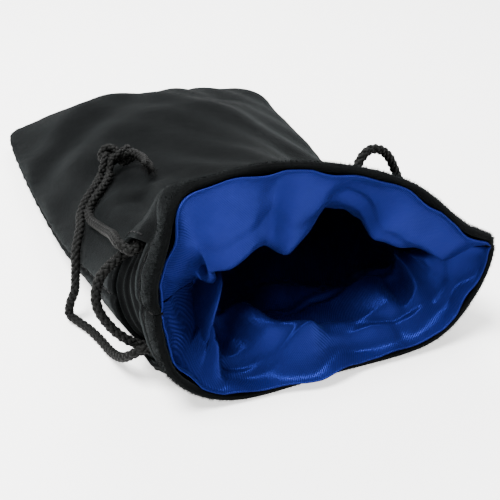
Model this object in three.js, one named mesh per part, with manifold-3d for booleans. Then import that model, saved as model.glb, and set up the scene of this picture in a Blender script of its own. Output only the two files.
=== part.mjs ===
// Drawstring dice bag: a velvet bag with a satin lining, lying on its back with its mouth open.
// Millimetres, +Z up. The bag's length runs along Y: the mouth is at -Y and the sewn end at +Y.
// The origin is on the surface that the bag lies on, under the middle of the bag's box.
import * as THREE from 'three';
import { mergeVertices } from 'three/addons/utils/BufferGeometryUtils.js';
import Module from 'manifold-3d';

const wasm = await Module();
wasm.setup();

// ---------- Driving dimensions ----------
const MOUTH_Y = -100;
const END_Y = 100;
const VELVET = 1.0;          // cloth thicknesses
const SATIN = 0.5;
const FACING = 0.6;
const LAYER_GAP = 0.5;       // clearance between two layers of cloth
const SEAM_HALF_GAP = 0.6;   // from a seam's middle to the edge of either panel
const THREAD_R = 0.25;
const THREAD_SIDES = 6;
const THREAD_STEP = 5;
const ROW_RISE = 0.95;       // a row's thread lies this far over the groove that it makes
const HEM_RISE = 2.7;
const HEM_INSET = 0.2;       // from a casing's end to its hem's stitches, in u
const LINING_SEAM_RISE = -1.75;
const AROUND_SPACING = 0.3;
const CORD_D = 3.0;
const CORD_SIDES = 8;
const CORD_STEP = 2.4 * CORD_D;
const KNOT_R = 4;

// The casing is the channel for the two cords, between two rows of stitching.
const CASING_Y = -84;
const CASING_HALF = 9;       // from the channel's middle to a row of stitching
const TRACK = 2.2;           // each cord's distance from the channel's middle
const PUFF_OUT = 2.0;        // how far the cords lift the velvet over the channel
const PUFF_IN = 2.0;         // and push the lining in under it
const PINCH = 1.0;           // how far a row of stitching draws every layer in
const PINCH_HALF = 1.3;
const ROW_FRONT_Y = CASING_Y - CASING_HALF;
const ROW_BACK_Y = CASING_Y + CASING_HALF;

// Round the bag, u counts from the left side seam (0), over the top to the right seam (6), and back
// underneath (12). The cords leave the casing where its ends stop short of the side seams.
const LEFT_SEAM = 0;
const RIGHT_SEAM = 6;
const ROUND = 12;
const EXIT = { leftUpper: 4 / 3, rightUpper: 4.05, rightLower: 7, leftLower: 11 };

// The mouth's plane leans back towards its top and its right, and the casing a little more.
const LEAN_BY_Z = 0.20;
const CASING_LEAN_BY_Z = 0.32;
const LEAN_BY_X = -0.07;
const LEAN_FULL_Y = -75;
const LEAN_NONE_Y = -5;

// ---------- The bag's outer shape ----------
// Each section lists 12 points as [x, z], one for each whole u.
const SECTIONS = [
  { y: MOUTH_Y, ring: [[-46, 31.5], [-43.8, 43.5], [-34, 58], [-12, 61], [17, 54], [46, 37.5],
    [55, 30.5], [49.5, 15], [34, 2.5], [2, 1], [-28, 1], [-43.3, 12]] },
  { y: ROW_FRONT_Y, ring: [[-47.5, 29], [-44.8, 41], [-34.5, 52.5], [-12, 56], [17, 50.5], [46, 35.5],
    [54.5, 28], [49.5, 13], [34, 2.3], [2, 1.2], [-29, 1.2], [-44.3, 10]] },
  { y: CASING_Y, ring: [[-49.5, 25], [-46, 36.5], [-35, 46], [-11, 48.5], [17.5, 44.5], [45.5, 31],
    [54, 24], [49, 11], [34, 2.6], [2, 2], [-30, 2], [-45.5, 9.5]] },
  { y: ROW_BACK_Y, ring: [[-51.5, 21], [-47.5, 31.5], [-35.5, 41], [-11, 44.5], [17.5, 41], [45, 27.5],
    [53.5, 20], [49, 9], [34, 1.8], [2, 1.2], [-31, 1.2], [-47, 7.5]] },
  { y: -50, ring: [[-54, 15.5], [-49.5, 25], [-36.5, 35], [-12, 39.5], [16.5, 36], [44, 22.5],
    [52, 15], [48.5, 6.5], [34, 0], [2, 0], [-33, 0], [-49.5, 5]] },
  { y: -15, ring: [[-58.3, 11], [-51, 20], [-37, 29.5], [-12, 34], [16.5, 31.5], [44.5, 18.5],
    [52.3, 11.5], [48.5, 4], [34.5, 0], [2, 0], [-35, 0], [-52.5, 3.5]] },
  { y: 30, ring: [[-61.5, 8.5], [-53, 15.5], [-38, 24], [-12, 30], [18, 29], [49.5, 16.5],
    [57.5, 9.5], [51, 3], [36, 0], [2, 0], [-37, 0], [-55, 2.5]] },
  { y: 70, ring: [[-63, 7], [-54.5, 13], [-39, 20.5], [-12, 26], [19, 25.5], [54.5, 14],
    [62, 8], [54.5, 2.5], [38.5, 0], [2, 0], [-39, 0], [-56, 2]] },
  { y: 88, ring: [[-62.8, 6.5], [-55, 11], [-39, 16.5], [-12, 20.5], [19, 20], [56.5, 12],
    [64, 7.2], [56.5, 2.8], [39.5, 0.8], [2, 0.5], [-39, 0.8], [-56, 2.3]] },
  { y: 95, ring: [[-61.5, 6.3], [-54.5, 9.6], [-38.5, 13.5], [-12, 16.5], [19, 16], [55.5, 10],
    [62.8, 7], [55.5, 3.6], [39, 2], [2, 1.7], [-38.5, 2], [-55.5, 3]] },
  { y: 98.5, ring: [[-58.5, 6.2], [-53, 8.3], [-37.5, 11], [-12, 12.8], [19, 12.6], [53.5, 8.8],
    [60, 6.8], [53.5, 4.8], [38, 3.6], [2, 3.4], [-37.5, 3.6], [-53.5, 4.3]] },
  { y: END_Y, ring: [[-53, 6.2], [-49, 6.9], [-36, 7], [-12, 7], [19, 7], [49.5, 7.1],
    [54, 6.6], [49.5, 6], [36.5, 5.8], [2, 5.8], [-36, 5.7], [-49, 5.6]] },
];

const runs = SECTIONS[0].ring.map((_, k) => new THREE.CatmullRomCurve3(
  SECTIONS.map(({ y, ring }) => new THREE.Vector3(ring[k][0], y, ring[k][1])), false, 'catmullrom'));

/** The share of the runs' length, 0 to 1, at which they pass y. */
function shareAt(y) {
  let low = 0;
  let high = 1;
  for (let i = 0; i < 40; i += 1) {
    const middle = (low + high) / 2;
    if (runs[0].getPoint(middle).y < y) {
      low = middle;
    } else {
      high = middle;
    }
  }
  return (low + high) / 2;
}

const rings = new Map();

/** The bag's closed outline at y, before it leans. */
function ringAt(y) {
  if (!rings.has(y)) {
    const share = shareAt(y);
    rings.set(y, new THREE.CatmullRomCurve3(runs.map((run) => run.getPoint(share)), true, 'catmullrom'));
  }
  return rings.get(y);
}

function shapePoint(u, y) {
  const turn = (((u % ROUND) + ROUND) % ROUND) / ROUND;
  const point = ringAt(y).getPoint(turn);
  const lean = 1 - THREE.MathUtils.smoothstep(y, LEAN_FULL_Y, LEAN_NONE_Y);
  const towardsCasing = THREE.MathUtils.smoothstep(y, MOUTH_Y, CASING_Y);
  const byZ = THREE.MathUtils.lerp(LEAN_BY_Z, CASING_LEAN_BY_Z, towardsCasing);
  point.y += lean * (byZ * point.z + LEAN_BY_X * point.x);
  return point;
}

/** 1 at a row of stitching, falling to 0 at PINCH_HALF from it. */
function pinchAt(y) {
  const away = Math.min(Math.abs(y - ROW_FRONT_Y), Math.abs(y - ROW_BACK_Y));
  return Math.max(0, 1 - away / PINCH_HALF);
}

/** 1 over the cords' channel, 0 outside it. */
function puffAt(y) {
  const inside = CASING_HALF - PINCH_HALF - Math.abs(y - CASING_Y);
  return THREE.MathUtils.clamp(inside / 2, 0, 1);
}

/** The point at height `rise` over the bag's outer shape. No layer sinks below its own depth at the floor. */
function skinPoint(u, y, rise) {
  const du = 0.02;
  const dy = 0.05;
  const yLow = Math.max(MOUTH_Y, y - dy);
  const yHigh = Math.min(END_Y, y + dy);
  const alongU = shapePoint(u + du, y).sub(shapePoint(u - du, y));
  const alongY = shapePoint(u, yHigh).sub(shapePoint(u, yLow));
  const out = alongU.cross(alongY).normalize();
  const point = shapePoint(u, y).addScaledVector(out, rise - PINCH * pinchAt(y));
  point.z = Math.max(point.z, PUFF_OUT * puffAt(y) - rise);
  return point;
}

// ---------- Cloth panels ----------
const PANEL_Y = [MOUTH_Y, -98.5, -96.3, ROW_FRONT_Y - PINCH_HALF, ROW_FRONT_Y, ROW_FRONT_Y + PINCH_HALF,
  CASING_Y - 5.7, CASING_Y, CASING_Y + 5.7, ROW_BACK_Y - PINCH_HALF, ROW_BACK_Y, ROW_BACK_Y + PINCH_HALF,
  -66, -54, -38, -18, 4, 27, 50, 68, 80, 88, 93, 96.5, 98.7, 99.6, END_Y];
const SEWN_FROM_Y = 94;      // from here on the seam's plane is flat
const TOP_STEPS = 12;
const SIDE_STEP = 0.33;      // about a column's width in u beside a seam
const SIDE_CROWD = 1.25;     // more than 1 crowds the columns towards the seam

/** A closed sheet with thickness, from a grid of outer and inner points and a test of which cells it fills. */
function sheetGeometry(outer, inner, filled) {
  const rows = outer.length;
  const cols = outer[0].length;
  const has = (i, j) => i >= 0 && j >= 0 && i < rows - 1 && j < cols - 1 && filled(i, j);
  const positions = [];
  const quad = (a, b, c, d) => {
    [a, b, c, a, c, d].forEach((p) => positions.push(p.x, p.y, p.z));
  };
  for (let i = 0; i < rows - 1; i += 1) {
    for (let j = 0; j < cols - 1; j += 1) {
      if (!has(i, j)) {
        continue;
      }
      const o = [outer[i][j], outer[i][j + 1], outer[i + 1][j + 1], outer[i + 1][j]];
      const n = [inner[i][j], inner[i][j + 1], inner[i + 1][j + 1], inner[i + 1][j]];
      quad(o[0], o[1], o[2], o[3]);
      quad(n[3], n[2], n[1], n[0]);
      const beside = [has(i - 1, j), has(i, j + 1), has(i + 1, j), has(i, j - 1)];
      beside.forEach((there, side) => {
        const next = (side + 1) % 4;
        if (!there) {
          quad(o[next], o[side], n[side], n[next]);
        }
      });
    }
  }
  const geometry = new THREE.BufferGeometry();
  geometry.setAttribute('position', new THREE.Float32BufferAttribute(positions, 3));
  return mergeVertices(geometry, 1e-4);
}

/** Grid of points on one layer, between two values of u, for every y in the list. */
function layerGrid(ys, us, rise) {
  return ys.map((y) => us.map((u) => skinPoint(u, y, rise(y))));
}

/** The values of u across a panel, from seam to seam, with a line at both exits. */
function panelUs(fromSeam, toSeam, exits) {
  const beside = (seam, exit) => {
    const count = Math.round(Math.abs(exit - seam) / SIDE_STEP);
    return Array.from({ length: count }, (_, i) => THREE.MathUtils.lerp(seam, exit, (i / count) ** SIDE_CROWD));
  };
  const top = Array.from({ length: TOP_STEPS + 1 }, (_, i) => THREE.MathUtils.lerp(...exits, i / TOP_STEPS));
  return [...beside(fromSeam, exits[0]), ...top, ...beside(toSeam, exits[1]).reverse()];
}

/** A panel leaves its corners free over the casing, where the cords come out. */
function velvetPanel(fromSeam, toSeam, exits) {
  const us = panelUs(fromSeam, toSeam, exits);
  const outer = layerGrid(PANEL_Y, us, (y) => PUFF_OUT * puffAt(y));
  const inner = layerGrid(PANEL_Y, us, (y) => PUFF_OUT * puffAt(y) - VELVET);
  const filled = (i, j) => {
    const y = (PANEL_Y[i] + PANEL_Y[i + 1]) / 2;
    const u = (us[j] + us[j + 1]) / 2;
    return Math.abs(y - CASING_Y) > CASING_HALF - PINCH_HALF || (u > exits[0] && u < exits[1]);
  };
  return sheetGeometry(outer, inner, filled);
}

function liningPanel(fromSeam, toSeam, exits) {
  const us = panelUs(fromSeam, toSeam, exits);
  const top = -VELVET - LAYER_GAP;
  const outer = layerGrid(PANEL_Y, us, (y) => top - PUFF_IN * puffAt(y));
  const inner = layerGrid(PANEL_Y, us, (y) => top - SATIN - PUFF_IN * puffAt(y));
  return sheetGeometry(outer, inner, () => true);
}

/** The strip of velvet that backs the opening at a side seam, between the ends of the two casings. */
function facingStrip(fromU, toU) {
  const ys = [-5.6, -3.7, -1.9, 0, 1.9, 3.7, 5.6].map((step) => CASING_Y + step);
  const ridges = [0, 0.5, 0, 0.5, 0, 0.5, 0];
  const us = Array.from({ length: 8 }, (_, i) => THREE.MathUtils.lerp(fromU, toU, i / 7));
  const top = (y) => -2.55 + ridges[ys.indexOf(y)];
  return sheetGeometry(layerGrid(ys, us, top), layerGrid(ys, us, (y) => top(y) - FACING), () => true);
}

// ---------- Seams ----------
function toSolid(geometry) {
  const vertProperties = new Float32Array(geometry.attributes.position.array);
  const triVerts = new Uint32Array(geometry.index.array);
  return new wasm.Manifold(new wasm.Mesh({ numProp: 3, vertProperties, triVerts }));
}

function fromSolid(solid) {
  const mesh = solid.getMesh();
  const geometry = new THREE.BufferGeometry();
  geometry.setAttribute('position', new THREE.Float32BufferAttribute(mesh.vertProperties, 3));
  geometry.setIndex([...mesh.triVerts]);
  return geometry;
}

/** The thin space between the upper and the lower panels, through the side seams and the sewn end. */
function seamSpace() {
  const past = 5;
  const columns = [[LEFT_SEAM, past], [LEFT_SEAM, -past], [RIGHT_SEAM, -past], [RIGHT_SEAM, past]];
  const rows = PANEL_Y.filter((y) => y < SEWN_FROM_Y).map((y) => (
    columns.map(([seam, rise]) => skinPoint(seam, y, rise))));
  const mouthRow = rows[0].map((point) => point.clone().setY(point.y - past));
  const endRow = columns.map(([seam, rise]) => {
    const point = shapePoint(seam, END_Y);
    return point.set(point.x * (1 + rise / point.length()) * 1.4, END_Y + past, point.z);
  });
  const middle = [mouthRow, ...rows, endRow];
  const shifted = (dz) => middle.map((row) => row.map((point) => point.clone().setZ(point.z + dz)));
  return toSolid(sheetGeometry(shifted(SEAM_HALF_GAP), shifted(-SEAM_HALF_GAP), () => true));
}

const between = seamSpace();

/** The panel without the space between the seams. Slivers left beyond that space are dropped. */
function apart(geometry) {
  const pieces = toSolid(geometry).subtract(between).decompose();
  pieces.sort((a, b) => b.volume() - a.volume());
  return fromSolid(pieces[0]);
}

// ---------- Tubes: stitching and cords ----------
function roundSection(radius, sides) {
  const points = Array.from({ length: sides }, (_, i) => {
    const angle = (i / sides) * 2 * Math.PI;
    return new THREE.Vector2(radius * Math.cos(angle), radius * Math.sin(angle));
  });
  return new THREE.Shape(points);
}

function tube(points, radius, sides, stepLength) {
  const path = new THREE.CatmullRomCurve3(points, false, 'centripetal');
  const steps = Math.max(2, Math.round(path.getLength() / stepLength));
  const geometry = new THREE.ExtrudeGeometry(roundSection(radius, sides), { steps, extrudePath: path });
  geometry.deleteAttribute('normal');
  geometry.deleteAttribute('uv');
  return mergeVertices(geometry, 1e-4);
}

const thread = (points) => tube(points, THREAD_R, THREAD_SIDES, THREAD_STEP);
const cord = (points) => tube(points, CORD_D / 2, CORD_SIDES, CORD_STEP);

const routePoints = (route) => route.map((point) => new THREE.Vector3(...point));

/** Points on the bag from one u to another at one y. */
function around(fromU, toU, y, rise) {
  const count = Math.max(2, Math.round(Math.abs(toU - fromU) / AROUND_SPACING));
  return Array.from({ length: count + 1 }, (_, i) => (
    skinPoint(THREE.MathUtils.lerp(fromU, toU, i / count), y, rise)));
}

const SIDE_SEAM_YS = [ROW_BACK_Y + 2.5, -62, -46, -28, -10, 10, 30, 50, 70, 84, 92, 94.5, 96.5, 98.7];

/** The line of the seam round three sides: down the left, across the sewn end and back up the right. */
function threeSides(rise) {
  const side = (seam) => SIDE_SEAM_YS.map((y) => skinPoint(seam, y, rise));
  const left = shapePoint(LEFT_SEAM, END_Y);
  const right = shapePoint(RIGHT_SEAM, END_Y);
  const acrossEnd = [0.06, 0.3, 0.5, 0.7, 0.94].map((share) => {
    const point = left.clone().lerp(right, share);
    return point.setY(point.y + rise);
  });
  return [...side(LEFT_SEAM), ...acrossEnd, ...side(RIGHT_SEAM).reverse()];
}

/** The part of a side seam between the mouth and the casing. */
function headerSeam(seam, rise) {
  return [MOUTH_Y + 0.8, MOUTH_Y + 2.5, ROW_FRONT_Y - 2.5].map((y) => skinPoint(seam, y, rise));
}

/** A short row of stitches across the end of a casing. */
function casingEndHem(u) {
  const steps = [-6.2, -4, 0, 4, 6.2];
  return steps.map((step) => skinPoint(u, CASING_Y + step, HEM_RISE));
}

// ---------- Cords ----------
const CORD_RISE = (PUFF_OUT - VELVET - VELVET - LAYER_GAP - PUFF_IN) / 2;
const CROSSING_RISE = -0.2;
const BACK_TRACK = CASING_Y + TRACK;
const FRONT_TRACK = CASING_Y - TRACK;

/** A cord from one end through the lower casing, across the gap at a side seam, and through the upper casing. */
function casingRun(track, lower, crossing, upper) {
  return [
    ...around(...lower, track, CORD_RISE),
    ...crossing.map(([u, y, rise]) => skinPoint(u, y, rise)),
    ...around(...upper, track, CORD_RISE),
  ];
}

// The left drawstring's two ends come out at the left. It crosses the gap at the right, close to the bag.
const leftDrawstringRun = casingRun(
  FRONT_TRACK,
  [EXIT.leftLower - 0.1, EXIT.rightLower + 0.2],
  [6.75, 6.4, 5.9, 5.4, 4.9, 4.5, 4.2].map((u) => [u, FRONT_TRACK, CROSSING_RISE]),
  [EXIT.rightUpper - 0.1, EXIT.leftUpper + 0.1],
);

// The right drawstring's ends come out at the right. It crosses the gap at the left, standing off the bag.
const rightDrawstringRun = casingRun(
  BACK_TRACK,
  [EXIT.rightLower + 0.1, EXIT.leftLower - 0.2],
  [[11.25, -81.8, 1.6], [11.6, -80.8, 4.4], [12.05, -79.8, 6], [12.5, -80.2, 4.8], [12.95, -81.5, 1.4]],
  [EXIT.leftUpper + ROUND - 0.05, EXIT.rightUpper + ROUND - 0.1],
);

// Each free end as [x, y, z] points, from the casing to its knot.
const LEFT_UPPER_ROUTE = [
  [-41.95, -70.5, 40.85], [-43.3, -71.2, 39.6], [-45.5, -71.1, 39.1], [-47.5, -68, 39.7],
  [-47.6, -62.4, 38.4], [-47.2, -55.8, 35.8], [-47.2, -48.5, 32.4], [-47.8, -40, 29.4],
  [-48.7, -29, 26.3], [-47.9, -23.4, 26.4], [-44.8, -20.2, 28.5], [-40.6, -16.1, 30.2],
  [-36.9, -10.4, 31.5],
];
const LEFT_LOWER_ROUTE = [
  [-43.9, -80.05, 9.95], [-45, -79.8, 11.4], [-47, -79.8, 12], [-49.8, -78.8, 10.6],
  [-51.8, -76, 7.6], [-53.2, -71.4, 4.6], [-54.3, -65.6, 2.3], [-55.7, -58.8, 1.65],
  [-57.7, -52.6, 1.65], [-60.1, -47.4, 1.65], [-61.9, -43.9, 2.6], [-60.9, -42.8, 6],
  [-58.9, -42.6, 10], [-57.6, -40.6, 14.3], [-55.5, -35.4, 20.2], [-52.2, -28.2, 23.4],
  [-50.7, -22.4, 24.7], [-47.7, -18.2, 27], [-43.5, -13.9, 29], [-39.4, -7.9, 30.4],
];
const RIGHT_UPPER_ROUTE = [
  [16.3, -69.6, 42.6], [18.7, -70.05, 41.85], [21.3, -70.5, 41.9], [23.8, -69.6, 43.8],
  [26.5, -67.9, 45.7], [29.8, -66.4, 46.4], [34, -65.6, 45.3], [38, -65.2, 42.9],
  [40.6, -65.4, 39.8], [42.6, -65.6, 36.5], [45.3, -65.4, 33.4], [48.9, -64.4, 30.3],
  [52.5, -62.8, 26.4], [55.6, -60.9, 21.6], [57.6, -58.6, 15.5], [58.5, -55.6, 9],
  [59.6, -51.4, 4], [61.6, -46, 1.8], [64.6, -38.8, 1.65], [67.3, -32.2, 1.65],
  [69, -27, 2.5], [69.3, -24.1, 3.3],
];
const RIGHT_LOWER_ROUTE = [
  [47.65, -81.75, 10.65], [48.7, -81.6, 12], [50.8, -81.3, 13.6], [53.8, -80.3, 13.6],
  [56.4, -78.2, 11.6], [58.4, -74.7, 8.2], [60, -69.7, 4.6], [61.9, -63.4, 2.1],
  [64.8, -56.4, 1.65], [68.4, -49, 1.65], [72.2, -40, 1.65], [73.9, -32.5, 1.65],
  [73.2, -27, 2.5], [72.7, -24.1, 3.3],
];

/** A cord end's knot: a round body on a frayed tail, along a route from the cords. */
function knot(route) {
  const [start, end, ...tail] = routePoints(route);
  const long = start.distanceTo(end);
  const profile = [[0, 0], [2.6, 0], [KNOT_R, 0.25], [KNOT_R, 0.75], [2.4, 1], [0, 1]];
  const body = new THREE.LatheGeometry(profile.map(([r, share]) => new THREE.Vector2(r, share * long)), 12);
  const turn = new THREE.Quaternion().setFromUnitVectors(
    new THREE.Vector3(0, 1, 0), end.clone().sub(start).normalize());
  body.applyQuaternion(turn);
  body.translate(...start.toArray());
  body.deleteAttribute('normal');
  body.deleteAttribute('uv');
  const inside = start.clone().lerp(end, 0.8);
  return fromSolid(toSolid(mergeVertices(body, 1e-4)).add(toSolid(tube([inside, ...tail], 2.2, 8, 4))));
}

const LEFT_KNOT_ROUTE = [
  [-37.4, -6.6, 34.2], [-28.8, -8.2, 36], [-26.2, -14, 36.8], [-26, -21, 38.4], [-27.4, -27, 39.2],
];
const RIGHT_KNOT_ROUTE = [
  [71, -23.5, 4.2], [70.8, -14.5, 4.2], [69.6, -10, 3], [68.6, -5, 2.6],
];

const group = new THREE.Group();

const VELVET_MATERIAL = { color: 0x15161a, roughness: 0.95, metalness: 0 };
const SATIN_MATERIAL = { color: 0x0f3fb0, roughness: 0.35, metalness: 0 };
const CORD_MATERIAL = { color: 0x0d0d0f, roughness: 0.7, metalness: 0 };
const THREAD_MATERIAL = { color: 0x1b1b1f, roughness: 0.6, metalness: 0 };
const LINING_THREAD_MATERIAL = { color: 0x0c2f8c, roughness: 0.5, metalness: 0 };

function add(name, geometry, material) {
  const mesh = new THREE.Mesh(geometry, new THREE.MeshStandardMaterial(material));
  mesh.name = name;
  group.add(mesh);
}

const UPPER = [LEFT_SEAM, RIGHT_SEAM, [EXIT.leftUpper, EXIT.rightUpper]];
const LOWER = [RIGHT_SEAM, ROUND, [EXIT.rightLower, EXIT.leftLower]];

add('velvet_upper_panel', apart(velvetPanel(...UPPER)), VELVET_MATERIAL);
add('velvet_lower_panel', apart(velvetPanel(...LOWER)), VELVET_MATERIAL);
add('lining_upper_panel', apart(liningPanel(...UPPER)), SATIN_MATERIAL);
add('lining_lower_panel', apart(liningPanel(...LOWER)), SATIN_MATERIAL);
add('left_casing_facing', facingStrip(EXIT.leftLower - ROUND + 0.35, EXIT.leftUpper - 0.4), VELVET_MATERIAL);
add('right_casing_facing', facingStrip(EXIT.rightUpper + 0.4, EXIT.rightLower - 0.35), VELVET_MATERIAL);

add('shell_seam_thread', thread(threeSides(-VELVET / 2)), THREAD_MATERIAL);
add('left_header_seam_thread', thread(headerSeam(LEFT_SEAM, -VELVET / 2)), THREAD_MATERIAL);
add('right_header_seam_thread', thread(headerSeam(RIGHT_SEAM, -VELVET / 2)), THREAD_MATERIAL);
add('lining_seam_thread', thread(threeSides(LINING_SEAM_RISE)), LINING_THREAD_MATERIAL);
add('casing_front_row_thread', thread(around(0.1, 11.9, ROW_FRONT_Y, ROW_RISE)), THREAD_MATERIAL);
add('casing_back_row_thread', thread(around(0.1, 11.9, ROW_BACK_Y, ROW_RISE)), THREAD_MATERIAL);
add('left_upper_casing_end_hem', thread(casingEndHem(EXIT.leftUpper + HEM_INSET)), THREAD_MATERIAL);
add('left_lower_casing_end_hem', thread(casingEndHem(EXIT.leftLower - HEM_INSET)), THREAD_MATERIAL);
add('right_upper_casing_end_hem', thread(casingEndHem(EXIT.rightUpper - HEM_INSET)), THREAD_MATERIAL);
add('right_lower_casing_end_hem', thread(casingEndHem(EXIT.rightLower + HEM_INSET)), THREAD_MATERIAL);

add('left_drawstring_casing_run', cord(leftDrawstringRun), CORD_MATERIAL);
add('right_drawstring_casing_run', cord(rightDrawstringRun), CORD_MATERIAL);

add('left_drawstring_upper_end', cord(routePoints(LEFT_UPPER_ROUTE)), CORD_MATERIAL);
add('left_drawstring_lower_end', cord(routePoints(LEFT_LOWER_ROUTE)), CORD_MATERIAL);
add('left_drawstring_knot', knot(LEFT_KNOT_ROUTE), CORD_MATERIAL);
add('right_drawstring_upper_end', cord(routePoints(RIGHT_UPPER_ROUTE)), CORD_MATERIAL);
add('right_drawstring_lower_end', cord(routePoints(RIGHT_LOWER_ROUTE)), CORD_MATERIAL);
add('right_drawstring_knot', knot(RIGHT_KNOT_ROUTE), CORD_MATERIAL);

export default group;
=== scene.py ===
"""Drawstring dice bag: black velvet with a blue satin lining, lying on its back, around its CAD frame."""

import math

import bpy
import numpy as np
from mathutils import Matrix, Vector


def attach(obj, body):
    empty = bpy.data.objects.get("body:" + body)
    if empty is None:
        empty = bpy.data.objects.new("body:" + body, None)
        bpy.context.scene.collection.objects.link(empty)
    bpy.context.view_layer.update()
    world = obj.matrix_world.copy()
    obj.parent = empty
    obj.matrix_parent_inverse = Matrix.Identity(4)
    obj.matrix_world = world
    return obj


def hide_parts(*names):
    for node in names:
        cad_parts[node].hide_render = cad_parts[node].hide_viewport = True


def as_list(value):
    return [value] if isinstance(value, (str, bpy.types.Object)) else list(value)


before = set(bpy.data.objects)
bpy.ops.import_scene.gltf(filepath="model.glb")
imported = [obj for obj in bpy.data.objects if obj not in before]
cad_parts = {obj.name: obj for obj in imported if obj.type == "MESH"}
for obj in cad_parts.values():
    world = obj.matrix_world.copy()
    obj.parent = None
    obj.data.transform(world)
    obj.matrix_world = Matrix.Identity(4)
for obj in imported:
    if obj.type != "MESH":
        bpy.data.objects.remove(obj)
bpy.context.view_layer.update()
MM = 0.001

# ---------- The bag's driving dimensions, in millimetres ----------
MOUTH_Y = -100
END_Y = 100
VELVET = 1.0
SATIN = 0.5
LAYER_GAP = 0.5
CORD_D = 3.0
CASING_Y = -84
CASING_HALF = 9
TRACK = 2.2
PUFF_OUT = 2.0
PUFF_IN = 2.0
PINCH = 1.0
PINCH_HALF = 2.2
ROW_FRONT_Y = CASING_Y - CASING_HALF
ROW_BACK_Y = CASING_Y + CASING_HALF
LEFT_SEAM = 0
RIGHT_SEAM = 6
ROUND = 12
EXIT = {"left_upper": 4 / 3, "right_upper": 4.05, "right_lower": 7, "left_lower": 11}
OPENING_HALF = 7.7           # the gap in the casing, from its middle to its edge
MM_PER_U = 18                # about how far one u is, beside a side seam
LEAN_BY_Z = 0.20
CASING_LEAN_BY_Z = 0.32
LEAN_BY_X = -0.07
LEAN_FULL_Y = -75
LEAN_NONE_Y = -5

# Each section lists 12 points as [x, z], one for each whole u.
SECTIONS = [
    (MOUTH_Y, [[-46, 31.5], [-43.8, 43.5], [-34, 58], [-12, 61], [17, 54], [46, 37.5],
               [55, 30.5], [49.5, 15], [34, 2.5], [2, 1], [-28, 1], [-43.3, 12]]),
    (ROW_FRONT_Y, [[-47.5, 29], [-44.8, 41], [-34.5, 52.5], [-12, 56], [17, 50.5], [46, 35.5],
                   [54.5, 28], [49.5, 13], [34, 2.3], [2, 1.2], [-29, 1.2], [-44.3, 10]]),
    (CASING_Y, [[-49.5, 25], [-46, 36.5], [-35, 46], [-11, 48.5], [17.5, 44.5], [45.5, 31],
                [54, 24], [49, 11], [34, 2.6], [2, 2], [-30, 2], [-45.5, 9.5]]),
    (ROW_BACK_Y, [[-51.5, 21], [-47.5, 31.5], [-35.5, 41], [-11, 44.5], [17.5, 41], [45, 27.5],
                  [53.5, 20], [49, 9], [34, 1.8], [2, 1.2], [-31, 1.2], [-47, 7.5]]),
    (-50, [[-54, 15.5], [-49.5, 25], [-36.5, 35], [-12, 39.5], [16.5, 36], [44, 22.5],
           [52, 15], [48.5, 6.5], [34, 0], [2, 0], [-33, 0], [-49.5, 5]]),
    (-15, [[-58.3, 11], [-51, 20], [-37, 29.5], [-12, 34], [16.5, 31.5], [44.5, 18.5],
           [52.3, 11.5], [48.5, 4], [34.5, 0], [2, 0], [-35, 0], [-52.5, 3.5]]),
    (30, [[-61.5, 8.5], [-53, 15.5], [-38, 24], [-12, 30], [18, 29], [49.5, 16.5],
          [57.5, 9.5], [51, 3], [36, 0], [2, 0], [-37, 0], [-55, 2.5]]),
    (70, [[-63, 7], [-54.5, 13], [-39, 20.5], [-12, 26], [19, 25.5], [54.5, 14],
          [62, 8], [54.5, 2.5], [38.5, 0], [2, 0], [-39, 0], [-56, 2]]),
    (88, [[-62.8, 6.5], [-55, 11], [-39, 16.5], [-12, 20.5], [19, 20], [56.5, 12],
          [64, 7.2], [56.5, 2.8], [39.5, 0.8], [2, 0.5], [-39, 0.8], [-56, 2.3]]),
    (95, [[-61.5, 6.3], [-54.5, 9.6], [-38.5, 13.5], [-12, 16.5], [19, 16], [55.5, 10],
          [62.8, 7], [55.5, 3.6], [39, 2], [2, 1.7], [-38.5, 2], [-55.5, 3]]),
    (98.5, [[-58.5, 6.2], [-53, 8.3], [-37.5, 11], [-12, 12.8], [19, 12.6], [53.5, 8.8],
            [60, 6.8], [53.5, 4.8], [38, 3.6], [2, 3.4], [-37.5, 3.6], [-53.5, 4.3]]),
    (END_Y, [[-53, 6.2], [-49, 6.9], [-36, 7], [-12, 7], [19, 7], [49.5, 7.1],
             [54, 6.6], [49.5, 6], [36.5, 5.8], [2, 5.8], [-36, 5.7], [-49, 5.6]]),
]
SECTION_Y = np.array([y for y, _ in SECTIONS], float)
SECTION_XZ = np.array([ring for _, ring in SECTIONS], float)


def catmull(p0, p1, p2, p3, t):
    """A Catmull-Rom curve's point between p1 and p2."""
    return 0.5 * (2 * p1 + (p2 - p0) * t + (2 * p0 - 5 * p1 + 4 * p2 - p3) * t ** 2
                  + (3 * p1 - p0 - 3 * p2 + p3) * t ** 3)


def open_run(values, at):
    """Catmull-Rom through a list of values, at fractional indices."""
    values = np.asarray(values, float)
    padded = np.concatenate([[2 * values[0] - values[1]], values, [2 * values[-1] - values[-2]]])
    i = np.clip(np.floor(at).astype(int), 0, len(values) - 2)
    t = at - i
    t = t.reshape(t.shape + (1,) * (values.ndim - 1))
    return catmull(padded[i], padded[i + 1], padded[i + 2], padded[i + 3], t)


INDEX_TABLE = np.linspace(0, len(SECTIONS) - 1, 4001)
Y_TABLE = open_run(SECTION_Y, INDEX_TABLE)


def smoothstep(x, low, high):
    """0 below low, 1 above high, and smooth between."""
    t = np.clip((x - low) / (high - low), 0, 1)
    return t * t * (3 - 2 * t)


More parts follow.
